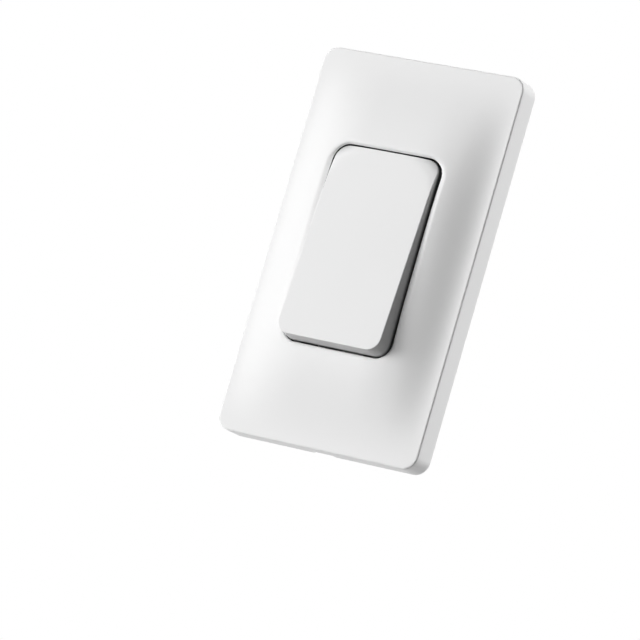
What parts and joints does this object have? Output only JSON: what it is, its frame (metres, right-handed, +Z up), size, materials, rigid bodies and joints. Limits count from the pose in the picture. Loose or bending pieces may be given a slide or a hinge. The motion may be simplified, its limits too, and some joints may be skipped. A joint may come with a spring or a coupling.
{
  "type": "wireless wall switch",
  "caption": "Tall domed wall switch with a rocker key hinged at its top edge, which swings a magnet in a coil to send a short radio signal, on a base plate screwed to a wall.",
  "frame": {"origin": "middle of the back face that lies against the wall", "axes": "+Z up, front of the switch towards -Y, the wall behind at y = 0, +X to the right as seen from the front"},
  "size_m": [0.07, 0.0185, 0.12],
  "materials": {
    "plate_plastic": "fine matt, white",
    "key_plastic": "fine matt, white",
    "base_plastic": "plain matt, off-white",
    "case_plastic": "plain matt, black",
    "bobbin_plastic": "natural resin",
    "arm_plastic": "plain matt, grey",
    "core_iron": "annealed sheet",
    "magnet_plating": "nickel plated",
    "spring_steel": "bright drawn",
    "copper_wire": "enamelled copper",
    "antenna_brass": "stamped strip",
    "board_laminate": "green solder mask",
    "chip_resin": "moulded resin",
    "crystal_metal": "metal lid",
    "can_aluminium": "drawn can",
    "pad_rubber": "soft, matt"
  },
  "bodies": {
    "housing": {"face_plate": "plate_plastic", "base_plate": "base_plastic", "generator_case": "case_plastic", "generator_cover": "case_plastic", "upper_core": "core_iron", "lower_core": "core_iron", "coil_bobbin": "bobbin_plastic", "coil_winding": "copper_wire", "coil_leads": "copper_wire", "reset_spring": "spring_steel", "circuit_board": "board_laminate", "radio_chip": "chip_resin", "rectifier_bridge": "chip_resin", "quartz_crystal": "crystal_metal", "storage_capacitor": "can_aluminium", "antenna_strip": "antenna_brass", "stop_pads": "pad_rubber"},
    "key": {"rocker_key": "key_plastic"},
    "arm": {"swing_arm": "arm_plastic", "magnet": "magnet_plating", "upper_pole_plate": "core_iron", "lower_pole_plate": "core_iron", "leaf_spring": "spring_steel"}
  },
  "joints": [
    {"name": "key_hinge", "type": "hinge", "parent": "housing", "child": "key", "pos_m": [0, -0.0075, 0.0237], "axis": [1, 0, 0], "range_deg": [0, 4], "stiffness_Nm_per_rad": 1.5, "springref_deg": -1.72},
    {"name": "arm_pivot", "type": "hinge", "parent": "housing", "child": "arm", "pos_m": [0, -0.0066, 0], "axis": [1, 0, 0], "range_deg": [0, 8.31], "deforming": ["reset_spring"]}
  ],
  "couplings": [
    {"joint": "arm_pivot", "follows": "key_hinge", "ratio": 2.0774}
  ]
}
